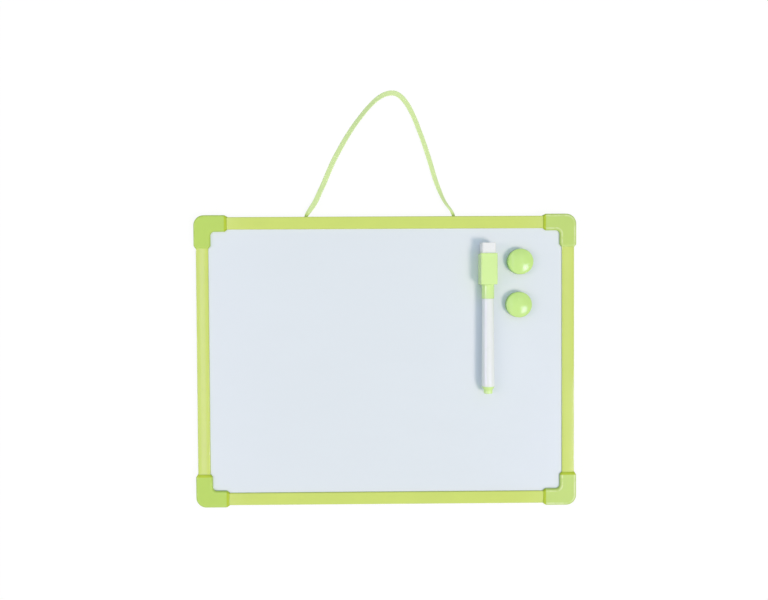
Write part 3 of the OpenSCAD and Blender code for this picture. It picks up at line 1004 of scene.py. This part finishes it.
@dataclass
class HangingRibbon:
    """Flat woven ribbon, gathered into a hole of the top rail at each end.

    Its rims are round, and just inside them runs a bead that is thicker than the middle.
    """

    width: float = 4.3
    thickness: float = 0.5
    gathered_width: float = 2.5
    pleats: float = 1.5
    pleat_depth: float = 0.3
    rim_power: int = 14
    bead: float = 0.14
    bead_reach: float = 0.10
    clear: float = 0.02
    steps: int = 6
    columns: int = 18
    smooth_deg: float = 50.0
    rail_edge_y: float = 113.5
    length: float = 0.241
    nominal: float = 4.0
    # X, Y above the top rail, height of the middle (0 lies on the surface), lean in degrees, gather
    route: tuple[tuple[float, float, float, float, float], ...] = (
        (-63.2, -1.3, 5.2, 12, 1), (-62.75, 0.1, 5.2, 12, 1), (-62, 1.6, 5.2, 12, 0.7),
        (-60.9, 3.4, 5.1, 12, 0.4), (-59.5, 5.5, 4.8, 12, 0.15), (-57.6, 8.3, 4.3, 12, 0),
        (-55.4, 12, 3.6, 10, 0), (-53.3, 16.6, 2.7, 10, 0), (-51.1, 21.9, 1.8, 14, 0),
        (-49, 26.5, 1, 12, 0), (-45, 36, 0, 12, 0), (-40.7, 45.4, 0, 14, 0),
        (-35.5, 55, 0, 16, 0), (-30, 64.4, 0, 20, 0), (-23.7, 73.8, 0, 24, 0),
        (-16.5, 83.1, 0, 26, 0), (-11.4, 88.9, 0, 26, 0), (-6.5, 93.5, 0, 22, 0),
        (-1.6, 96.8, 0, 16, 0), (3.4, 98.6, 0, 10, 0), (8.4, 98.6, 0, 8, 0),
        (12.9, 96, 0, 10, 0), (16.6, 91.8, 0, 14, 0), (19.7, 87, 0, 18, 0),
        (23.8, 78.5, 0, 22, 0), (27.4, 69.2, 0, 24, 0), (31, 59.5, 0, 24, 0),
        (35.7, 45, 0, 24, 0), (39.8, 31, 0.6, 26, 0), (43.2, 21.6, 1.6, 30, 0.05),
        (45.2, 16.6, 2.4, 38, 0.1), (47.2, 12.4, 3.2, 40, 0.25), (49.3, 9.1, 4, 40, 0.5),
        (51.1, 6.6, 4.6, 36, 0.75), (52.5, 4.4, 5, 30, 0.8), (53.5, 2.2, 5.2, 24, 0.8),
        (54.25, 0.1, 5.2, 20, 1), (54.6, -1.3, 5.2, 20, 1),
    )

    def stations(self) -> list[list[float]]:
        """Rounds the route off.

        Returns:
            Points on one smooth curve through the route's own, several for each of them.
        """
        route = self.route
        found = []
        for i in range(len(route) - 1):
            near = (route[max(i - 1, 0)], route[i], route[i + 1], route[min(i + 2, len(route) - 1)])
            for step in range(self.steps):
                t = step / self.steps
                found.append([
                    b + t * (c - a + t * (2 * a - 5 * b + 4 * c - d + t * (3 * b - a - 3 * c + d))) / 2
                    for a, b, c, d in zip(*near)
                ])
        return [*found, list(route[-1])]

    def half_width(self, gather: float) -> float:
        """Half the width, from open (0) to gathered (1)."""
        return (self.width + (self.gathered_width - self.width) * gather) / 2

    def middle(self, station: Sequence[float]) -> Vector:
        """Finds the middle of the ribbon at a station.

        Args:
            station: The station's X, Y, height, lean and gather.

        Returns:
            The middle, no lower than lying on the surface lets it be.
        """
        x, y, z, lean, gather = station
        half, thick = self.half_width(gather), self.thickness / 2
        edge = half * math.sin(math.radians(lean)) + thick * math.cos(math.radians(lean))
        return Vector((x, y + self.rail_edge_y, max(z, edge + self.clear)))

    def section(self, gather: float) -> list[Point]:
        """Draws the section.

        Args:
            gather: From open (0) to gathered (1).

        Returns:
            Across, proud and share across of each point, over the top and back below.
        """
        half = self.half_width(gather)
        upper, lower = [], []
        for share in (i / self.columns for i in range(self.columns + 1)):
            side = 2 * share - 1
            fold = self.pleat_depth * max(gather, 0.0) * math.cos(side * math.pi * self.pleats)
            rim = math.sqrt(max(0.0, 1 - abs(side) ** self.rim_power))
            bead = 1 - self.bead + self.bead * math.exp(-((1 - abs(side)) / self.bead_reach) ** 2)
            rise = self.thickness / 2 * bead * rim
            upper.append((half * side, fold + rise, share))
            lower.append((half * side, fold - rise, share))
        return upper + lower[-2:0:-1]

    def sweep(self, stations: list[list[float]], middles: list[Vector]) -> list[Vector]:
        """Places the section at each station, square to the route and leaning as the ribbon does.

        Args:
            stations: The stations.
            middles: The ribbon's middle at each.

        Returns:
            The points of one ring after another, in metres.
        """
        last = len(stations) - 1
        points = []
        for i, station in enumerate(stations):
            run = middles[min(i + 1, last)] - middles[max(i - 1, 0)]
            if i in (0, last):
                run = Vector((0, 1 if i == 0 else -1, 0))
            ahead = run.normalized()
            inward = ahead.cross(Vector((0, 0, 1))).normalized()
            up = inward.cross(ahead)
            lean = math.radians(station[3])
            across = inward * math.cos(lean) + up * math.sin(lean)
            proud = up * math.cos(lean) - inward * math.sin(lean)
            points += [(middles[i] + across * u + proud * v) * MM for u, v, _ in self.section(station[4])]
        return points

    def build(self) -> Piece:
        """Makes the ribbon, with a UV map that follows the weave.

        Returns:
            The finished piece.
        """
        stations = self.stations()
        middles = [self.middle(s) for s in stations]
        last = len(stations) - 1
        shares = [share for _, _, share in self.section(0)]
        count = len(shares)
        faces = [
            (start + k, start + (k + 1) % count, start + count + (k + 1) % count, start + count + k)
            for start in range(0, last * count, count) for k in range(count)
        ]
        ends = [tuple(range(count)), tuple(last * count + k for k in reversed(range(count)))]
        mesh = bpy.data.meshes.new("hanging_ribbon_woven")
        mesh.from_pydata(self.sweep(stations, middles), [], faces + ends)
        lengths = [0.0, *((there - here).length for here, there in zip(middles, middles[1:]))]
        walked = list(accumulate(lengths))
        weave = mesh.uv_layers.new(name="weave")
        for loop in mesh.loops:
            ring, place = divmod(loop.vertex_index, count)
            weave.data[loop.index].uv = (shares[place], walked[ring])
        piece = bpy.data.objects.new("hanging_ribbon_woven", mesh)
        bpy.context.scene.collection.objects.link(piece)
        Work.hold(piece)
        bpy.ops.object.mode_set(mode="EDIT")
        bpy.ops.mesh.select_all(action="SELECT")
        bpy.ops.mesh.normals_make_consistent(inside=False)
        Work.hold(piece)
        bpy.ops.object.shade_smooth_by_angle(angle=math.radians(self.smooth_deg))
        dress(piece, RIBBON, "board", "ribbon_fabric", "hanging_ribbon")
        return piece


# ---- Frame ----


@dataclass
class Rail:
    """Extruded channel: two lips hold the panel, and a chamber behind the web takes knots and lugs."""

    width: float = 9.7
    thick: float = 8.0
    lip: float = 1.1
    web: float = 1.2
    chamber: float = 3.0
    rib: float = 0.8
    rib_height: float = 1.2
    edge_r: float = 0.8
    flat: float = 0.42
    shoulder_drop: float = 0.08
    ripple: float = 0.003
    ripple_pitch: float = 3.6
    face_steps: int = 30
    hole_d: float = 2.77
    hole_lead: float = 0.35
    hole_past: float = 1.0
    hole_places: Flat = (-62.9, 54.1)
    hole_height: float = 5.2

    def outline(self) -> list[Flat]:
        """Draws the section from the outer edge inwards, and up from the back.

        Returns:
            Its points.
        """
        w, t, r, lip, steps = self.width, self.thick, self.edge_r, self.lip, 5
        across = [r + (w - 2 * r) * i / self.face_steps for i in range(self.face_steps + 1)]
        face = [(u, t - self.fall(u)) for u in across]
        shoulder = face[0][1] - r
        slot, inner = self.web + self.chamber + self.rib, self.web + self.chamber
        roof, low, high = t - lip, lip + self.rib_height, t - lip - self.rib_height
        return [
            *arc((w - r, r), r, 0, -90, steps), *arc((r, r), r, -90, -180, steps),
            *arc((r, shoulder), r, 180, 90, steps)[:-1], *face,
            *arc((w - r, face[-1][1] - r), r, 90, 0, steps)[1:],
            (w, roof), (slot, roof), (slot, high), (inner, high), (inner, roof), (self.web, roof),
            (self.web, lip), (inner, lip), (inner, low), (slot, low), (slot, lip), (w, lip),
        ]

    def fall(self, u: float) -> float:
        """How far the face lies under its highest line: sloping shoulders, and the die's shallow ripple."""
        shoulder = max(0.0, abs(2 * u / self.width - 1) - self.flat) / (1 - self.flat)
        return self.shoulder_drop * shoulder + self.ripple * (1 - math.sin(math.tau * u / self.ripple_pitch))

    def build(self, node: str, side: Flat, finish: Finish) -> None:
        """Extrudes one rail where its node is.

        Args:
            node: The node that it stands for.
            side: Way from the board's middle to the rail.
            finish: Its finish.
        """
        low, high = corners(node)
        x, y = side
        back = low.z
        if x:
            edge = high.x if x > 0 else low.x
            outline = [(edge - x * u, low.y, back + z) for u, z in self.outline()]
            run = (0.0, high.y - low.y, 0.0)
        else:
            edge = high.y if y > 0 else low.y
            outline = [(low.x, edge - y * u, back + z) for u, z in self.outline()]
            run = (high.x - low.x, 0.0, 0.0)
        work = Work.prism(node + "_profile", outline, run)
        if y > 0:
            for place in self.hole_places:
                work.combine(self.drill(place, edge), Join.CUT)
        work.finish(finish, "board", "rail_plastic", node)

    def drill(self, place: float, edge: float) -> Work:
        """Makes a solid that cuts one of the ribbon's holes, with a small lead-in.

        Args:
            place: Where the hole is along the rail.
            edge: Where the rail's outer edge is.

        Returns:
            The solid, which goes past both faces of the wall.
        """
        r, lead, past = self.hole_d / 2, self.hole_lead, self.hole_past
        half = [(0, -past), (r + lead + past, -past), (r, lead), (r, self.web + past), (0, self.web + past)]
        turn = Matrix.Translation((place, edge, self.hole_height)) @ Matrix.Rotation(math.pi / 2, 4, "X")
        return Work.turned("drill", half, steps=48).move(turn)


@dataclass
class CornerCap:
    """Moulded cap over two rail ends, with a bevelled mouth on each arm and lugs for the chambers.

    Each drop is how far a mouth's rim lies inside the arm's face, at the front and back and at its sides.
    """

    reach: float = 26.0
    mouth: float = 2.0
    width: float = 13.0
    thick: float = 10.4
    corner_r: float = 8.0
    inner_r: float = 3.0
    edge_r: float = 1.5
    front_drop: float = 0.85
    outer_drop: float = 1.15
    inner_drop: float = 1.45
    pocket_start: float = 12.3
    side_wall: float = 1.4
    face_wall: float = 1.1
    pocket_width: float = 9.9
    slot_start: float = 6.5
    slot: Flat = (2.3, 8.1)
    lug: tuple[Point, Point] = ((12.0, 2.8, 2.4), (21.4, 5.6, 8.0))
    pin_r: float = 1.6
    pin_depth: float = 0.15
    cut_past: float = 2.0
    pins: tuple[Flat, ...] = ((7.0, 7.0), (20.5, 6.0), (6.0, 20.5))

    def outline(self) -> list[Point]:
        """Draws the L that is seen from the front.

        Returns:
            Its points, with its outer corner at the origin.
        """
        far, w, r, inner = self.reach, self.width, self.corner_r, self.inner_r
        corner = arc((r, r), r, 270, 180, steps=14)
        fillet = arc((w + inner, w + inner), inner, 180, 270, steps=8)
        return [(x, y, 0.0) for x, y in [(far, 0.0), *corner, (0.0, far), (w, far), *fillet, (far, w)]]

    def build(self) -> Work:
        """Shapes one cap.

        Returns:
            The cap, with its outer corner at the origin and its arms along X and Y.
        """
        far, thick = self.reach, self.thick
        kept = 1 - (self.outer_drop + self.inner_drop) / self.width
        middle = self.outer_drop / (1 - kept)
        flat = 1 - 2 * self.front_drop / thick
        work = Work.prism("cap", self.outline(), (0.0, 0.0, thick))
        work.pick(Pick.EDGE, lambda c, d: not along(d, "z") and max(c.x, c.y) < far - NEAR)
        work.bevel(self.edge_r, segments=5)
        for axis in (Vector((1, 0, 0)), Vector((0, 1, 0))):
            side = Vector((1, 1, 0)) - axis
            work.bisect(axis * (far - self.mouth), axis)
            work.pick(Pick.VERT, lambda c, n: c.dot(axis) > far - NEAR)
            work.scale(axis + side * kept + Vector((0, 0, flat)), side * middle + Vector((0, 0, thick / 2)))
        self.hollow(work)
        return work

    def hollow(self, work: Work) -> None:
        """Cuts the pockets for the rails and the panel's slot, adds the lugs and marks the back.

        Args:
            work: The cap.
        """
        past = self.reach + self.cut_past
        low, high = (self.pocket_start, self.side_wall), (past, self.side_wall + self.pocket_width)
        depth = (self.face_wall, self.thick - self.face_wall)
        slot = Work.block("cut", (self.slot_start, self.slot_start, self.slot[0]), (past, past, self.slot[1]))
        work.combine(slot, Join.CUT)
        for flip in (False, True):
            ends = [(p[::-1] if flip else p) for p in (low, high)]
            work.combine(Work.block("cut", (*ends[0], depth[0]), (*ends[1], depth[1])), Join.CUT)
            lug = [((p[1], p[0], p[2]) if flip else p) for p in self.lug]
            work.combine(Work.block("add", *lug), Join.ADD)
        r, dent = self.pin_r, self.pin_depth
        half = [(0, -self.cut_past), (r, -self.cut_past), (r, dent), (0, dent)]
        for x, y in self.pins:
            pin = Work.turned("pin", half, steps=32).move(Matrix.Translation((x, y, 0)))
            work.combine(pin, Join.CUT)


@dataclass
class Frame:
    """Four rails and the four caps that are pushed over their ends."""

    rail: Rail = field(default_factory=Rail)
    cap: CornerCap = field(default_factory=CornerCap)

    def build(self) -> None:
        """Extrudes the rails, and shapes one cap that is copied to each corner."""
        sides = {"rail_top": (0, 1), "rail_bottom": (0, -1), "rail_left": (-1, 0), "rail_right": (1, 0)}
        for node, side in sides.items():
            self.rail.build(node, side, UP_RAIL if side[0] else ACROSS_RAIL)
        first = self.cap.build()
        turns = {"bottom_left": (-1, -1), "bottom_right": (1, -1), "top_right": (1, 1), "top_left": (-1, 1)}
        for quarter, (corner, (x, y)) in enumerate(turns.items()):
            node = "corner_" + corner
            box = corners(node)
            place = Vector((box[x > 0].x, box[y > 0].y, 0.0))
            turn = Matrix.Translation(place) @ Matrix.Rotation(quarter * math.pi / 2, 4, "Z")
            first.copy(node + "_cap").move(turn).finish(CORNER, "board", "corner_plastic", node)
        bpy.data.objects.remove(first.piece)


# ---- Panel ----


@dataclass
class Panel:
    """Coated steel sheet and backing sheet on a core board."""

    corner_r: float = 1.5
    rolled_edge: float = 0.08

    def sheet(self, node: str, finish: Finish, slot: str) -> None:
        """Makes a thin sheet with nipped corners and rolled edges.

        Args:
            node: The node that it stands for.
            finish: Its finish.
            slot: The record's material slot.
        """
        work = Work.block(node + "_plate", *corners(node))
        work.pick(Pick.EDGE, lambda c, d: along(d, "z")).bevel(self.corner_r, segments=4)
        work.pick(Pick.EDGE, lambda c, d: not along(d, "z")).bevel(self.rolled_edge, segments=2)
        work.finish(finish, "board", slot, node)

    def build(self) -> None:
        """Makes the sheets in front of the core and behind it."""
        self.sheet("writing_sheet", STEEL, "coated_steel")
        self.sheet("backing_sheet", BACKING, "backing_plastic")


# ---- Marker ----


@dataclass
class Marker:
    """Pen whose magnetic cap has a block with an eraser in its top, all along one axis.

    Places along the axis are counted from the top of the block, down to minus. Edges are broken by a
    round or a small bevel.
    """

    half: float = 6.5
    block_l: float = 24.1
    block_r: float = 1.2
    end_r: float = 0.45
    sleeve_r: float = 4.8
    sleeve_rim: float = 0.3
    sleeve_root: float = 0.5
    sleeve_inside: float = 2.0
    sleeve_end: float = -35.0
    seat: float = 2.0
    seat_wall: float = 0.97
    neck_r: float = 3.75
    neck_fit: float = 0.05
    neck_end: float = -26.05
    neck_lead: float = 0.25
    neck_room: float = 0.1
    neck_edge: float = 0.2
    rings: Flat = (2.2, 4.4)
    ring_rise: float = 0.04
    ring_half: float = 0.25
    nose_r: float = 3.25
    nose_tip_r: float = 2.3
    nose_end: float = -21.05
    nose_gap: float = 0.3
    nose_edge: float = 0.3
    nib_r: float = 1.55
    nib_fit: float = 0.05
    nib_tip: float = -15.05
    nib_back: float = -45.05
    nib_room: float = 1.5
    barrel_start: float = -35.05
    barrel_end: float = -103.15
    bore_r: float = 3.45
    front_r: float = 4.45
    rear_r: float = 5.05
    barrel_edge: float = 0.2
    insert: float = 8.0
    insert_r: float = 3.4
    insert_edge: float = 0.3
    shoulder_edge: float = 0.12
    shoulder_root: float = 0.1
    shoulder_l: float = 3.0
    tip_l: float = 2.7
    tip_r: float = 3.4
    tip_edge: float = 0.8
    gate: tuple[Flat, Flat] = ((0.7, 0.0), (0.5, 0.25))
    eraser_r: float = 1.3
    eraser_top_r: float = 0.7
    eraser_rows: int = 20
    eraser_columns: int = 22
    lump_size: float = 0.7
    lump_depth: int = 3
    lump_rise: float = 0.16
    lump_level: float = 0.85
    felt_angle: float = 70.0
    strip_half: float = 4.55
    strip_span: Flat = (-20.1, -4.0)
    strip_depth: float = 1.55
    strip_edge: float = 0.15
    cut_past: float = 1.0

    def at(self) -> Matrix:
        """Turns a shape made up the Z axis to lie along the marker, and brings it there.

        Returns:
            The turn and the place.
        """
        low, high = corners("marker_cap")
        place = Vector(((low.x + high.x) / 2, high.y, (low.z + high.z) / 2))
        return Matrix.Translation(place) @ Matrix.Rotation(-math.pi / 2, 4, "X")

    def cap(self) -> None:
        """Block and sleeve in one moulding, with the eraser's seat, the bore and the strip's recess."""
        h, end, mouth, past = self.half, -self.block_l, self.sleeve_end, self.cut_past
        work = Work.block("marker_cap_moulding", (-h, -h, end), (h, h, 0.0))
        work.pick(Pick.EDGE, lambda c, d: along(d, "z")).bevel(self.block_r, segments=8)
        work.pick(Pick.EDGE, lambda c, d: not along(d, "z") and (c.z > -NEAR or c.z < end + NEAR))
        work.bevel(self.end_r, segments=3)
        work.pick(Pick.FACE, lambda c, n: c.z > -NEAR).inset(self.seat_wall - self.end_r)
        work.extrude((0, 0, -self.seat))
        r, rim, root, inside = self.sleeve_r, self.sleeve_rim, self.sleeve_root, end + self.sleeve_inside
        sleeve = [(0, inside), (r + root, inside), *arc((r + root, end - root), root, 90, 180, steps=4),
                  *arc((r - rim, mouth + rim), rim, 0, -90, steps=4), (0, mouth)]
        work.combine(Work.turned("sleeve", sleeve), Join.ADD)
        bore, lead, nose = self.neck_r + self.neck_fit, self.neck_lead, self.nose_r + self.nose_gap
        step, top = self.neck_end + self.neck_room, self.nib_tip + self.nib_room
        hollow = [(0, mouth - past), (bore + lead, mouth - past), (bore + lead, mouth), (bore, mouth + lead),
                  (bore, step), (nose, step), (nose, top), (0, top)]
        work.combine(Work.turned("hollow", hollow), Join.CUT)
        s, (low, high) = self.strip_half, self.strip_span
        work.combine(Work.block("recess", (-s, h - self.strip_depth, low), (s, h + past, high)), Join.CUT)
        work.move(self.at()).finish(ACCESSORY, "cap_with_eraser", "accessory_plastic", "marker_cap")

    def strip(self) -> None:
        """Magnet strip with cut edges."""
        work = Work.block("marker_cap_magnet_strip", *corners("marker_cap_magnet"))
        work.pick(Pick.EDGE, lambda c, d: True).bevel(self.strip_edge, segments=2)
        work.finish(STRIP, "cap_with_eraser", "magnet_strip", "marker_cap_magnet")

    def eraser(self) -> None:
        """Felt block, rounded by use, with a slightly lumpy skin."""
        low, high = corners("marker_eraser")
        work = Work.block("marker_eraser_felt", low, high)
        work.pick(Pick.EDGE, lambda c, d: along(d, "y")).bevel(self.eraser_r, segments=4)
        work.pick(Pick.EDGE, lambda c, d: not along(d, "y") and c.y > high.y - NEAR)
        work.bevel(self.eraser_top_r, segments=3)
        for row in range(1, self.eraser_rows):
            work.bisect(low.lerp(high, row / self.eraser_rows), (0, 1, 0))
        for column in range(1, self.eraser_columns):
            place = low.lerp(high, column / self.eraser_columns)
            work.bisect(place, (1, 0, 0)).bisect(place, (0, 0, 1))
        lumps = bpy.data.textures.new("felt_lumps", "CLOUDS")
        lumps.noise_scale, lumps.noise_depth = self.lump_size, self.lump_depth
        work.apply("DISPLACE", texture=lumps, strength=self.lump_rise, mid_level=self.lump_level,
                   texture_coords="LOCAL")
        work.finish(FELT, "cap_with_eraser", "eraser_felt", "marker_eraser", angle=self.felt_angle)

    def barrel(self) -> list[Flat]:
        """Draws the barrel, which widens to the rear.

        Returns:
            Its half section, back to its first point.
        """
        start, end, bore, e = self.barrel_start, self.barrel_end, self.bore_r, self.barrel_edge
        front, rear = self.front_r, self.rear_r
        return [
            (bore, start - e), (bore + e, start), (front - e, start),
            *arc((front - e, start - e), e, 90, 0, steps=3)[1:], (rear, end + e), (rear - e, end),
            (bore + e, end), (bore, end + e), (bore, start - e),
        ]

    def plug(self) -> list[Flat]:
        """Draws the end plug: insert, sloping shoulder, and a tip with the mark of its gate.

        Returns:
            Its half section.
        """
        seam, deep, rear = self.barrel_end, self.barrel_end + self.insert, self.rear_r
        shoulder, tip_end = seam - self.shoulder_l, seam - self.shoulder_l - self.tip_l
        body, tip, k, e, s = self.insert_r, self.tip_r, self.tip_edge, self.insert_edge, self.shoulder_edge
        (gate, level), (dip, dip_depth) = self.gate
        return [
            (0, deep), (body - e, deep), (body, deep - e), (body, seam), (rear - s, seam), (rear, seam - s),
            (tip + s, shoulder + self.shoulder_root), (tip, shoulder - s),
            *arc((tip - k, tip_end + k), k, 0, -90, steps=6), (gate, tip_end + level),
            (dip, tip_end + dip_depth), (0, tip_end + dip_depth),
        ]

    def holder(self) -> list[Flat]:
        """Draws the nib holder: insert, neck with two grip rings, and nose.

        Returns:
            Its half section, back to its first point.
        """
        start, deep, hole = self.barrel_start, self.barrel_start - self.insert, self.nib_r + self.nib_fit
        neck, end, e, half = self.neck_r, self.neck_end, self.neck_edge, self.ring_half
        rings = []
        for ring in (start + place for place in self.rings):
            rings += [(neck, ring), (neck + self.ring_rise, ring + half), (neck, ring + 2 * half)]
        k, tip = self.nose_edge, self.nose_end
        return [
            (hole, deep), (self.insert_r, deep), (self.insert_r, start), (neck - e, start), (neck, start + e),
            *rings, (neck, end - e), (neck - e, end), (self.nose_r, end),
            *arc((self.nose_tip_r - k, tip - k), k, 20, 90, steps=4), (hole, tip), (hole, deep),
        ]

    def nib(self) -> list[Flat]:
        """The nib's half section, with a round tip."""
        r, back, tip = self.nib_r, self.nib_back, self.nib_tip
        return [(0, back), (r, back), *arc((0, tip - r), r, 0, 90, steps=10)]

    def pen(self) -> None:
        """Barrel, end plug, nib holder and nib, which leave the cap together."""
        turned = (
            ("marker_barrel", "_tube", self.barrel(), BARREL, "barrel_plastic"),
            ("marker_end_plug", "_moulding", self.plug(), ACCESSORY, "accessory_plastic"),
            ("marker_nib_holder", "_moulding", self.holder(), BARREL, "barrel_plastic"),
            ("marker_nib", "_fibre", self.nib(), INK, "ink_fibre"),
        )
        for node, kind, outline, finish, slot in turned:
            Work.turned(node + kind, outline).move(self.at()).finish(finish, "pen", slot, node)

    def build(self) -> None:
        """Every piece of the marker that shows, at rest or with the pen pulled out."""
        self.cap()
        self.strip()
        self.eraser()
        self.pen()


# ---- Round magnets ----


@dataclass
class RoundMagnet:
    """Domed plastic button with a ferrite disc in its back."""

    radius: float = 10.0
    height: float = 7.4
    dome_r: float = 26.0
    rim_r: float = 1.0
    disc_r: float = 7.5
    disc_t: float = 3.0
    hollow: float = 1.2
    ledge: float = 1.0
    fit: float = 0.05
    foot: float = 0.25
    lead: float = 0.2
    disc_edge: float = 0.3

    def outline(self) -> list[Flat]:
        """Draws the shell from the middle of its top round to the hollow in its back.

        Returns:
            Its half section.
        """
        r, dome_r, lead, foot = self.radius, self.dome_r, self.lead, self.foot
        sphere = self.height - dome_r
        rim_z = sphere + math.sqrt((dome_r - self.rim_r) ** 2 - (r - self.rim_r) ** 2)
        meet = math.degrees(math.acos((r - self.rim_r) / (dome_r - self.rim_r)))
        seat, deep, inner = self.disc_r + self.fit, self.disc_t + self.fit, self.disc_r - self.ledge
        top = self.disc_t + self.hollow
        return [
            *arc((0, sphere), dome_r, 90, meet, steps=18),
            *arc((r - self.rim_r, rim_z), self.rim_r, meet, 0, steps=6)[1:],
            (r, foot), (r - foot, 0), (seat + lead, 0), (seat, lead), (seat, deep),
            (inner, deep), (inner, top), (0, top),
        ]

    def build(self, which: str) -> None:
        """Makes one magnet's shell and disc.

        Args:
            which: The upper or the lower one.
        """
        shell, disc, body = f"magnet_{which}_shell", f"magnet_{which}_disc", f"{which}_magnet"
        low, high = corners(shell)
        place = Matrix.Translation(((low.x + high.x) / 2, (low.y + high.y) / 2, low.z))
        button = Work.turned(shell + "_button", self.outline(), steps=120).move(place)
        button.finish(BUTTON, body, "accessory_plastic", shell)
        r, t, e = self.disc_r, self.disc_t, self.disc_edge
        edge = [(0, t), (r - e, t), (r, t - e), (r, e), (r - e, 0), (0, 0)]
        Work.turned(disc + "_ferrite", edge).move(place).finish(FERRITE, body, "ferrite", disc)


# ---- The whole ----


def dress_hidden_nodes() -> None:
    """Gives the construction's hidden pieces, which stay as they are, their finishes."""
    finishes = {
        "core_board": CORE, "ribbon_knot_left": KNOT, "ribbon_knot_right": KNOT, "marker_ink_reservoir": INK,
    }
    for name, finish in finishes.items():
        cover(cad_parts[name], finish)
        log.info("%s keeps its construction", name)


def main() -> None:
    """Builds the studio and the ribbon, then every sub-assembly in turn."""
    logging.basicConfig(level=logging.INFO, format="%(name)s: %(message)s")
    Studio().build()
    HangingRibbon().build()
    Frame().build()
    Panel().build()
    Marker().build()
    for which in ("upper", "lower"):
        RoundMagnet().build(which)
    dress_hidden_nodes()


if __name__ == "__main__":
    main()
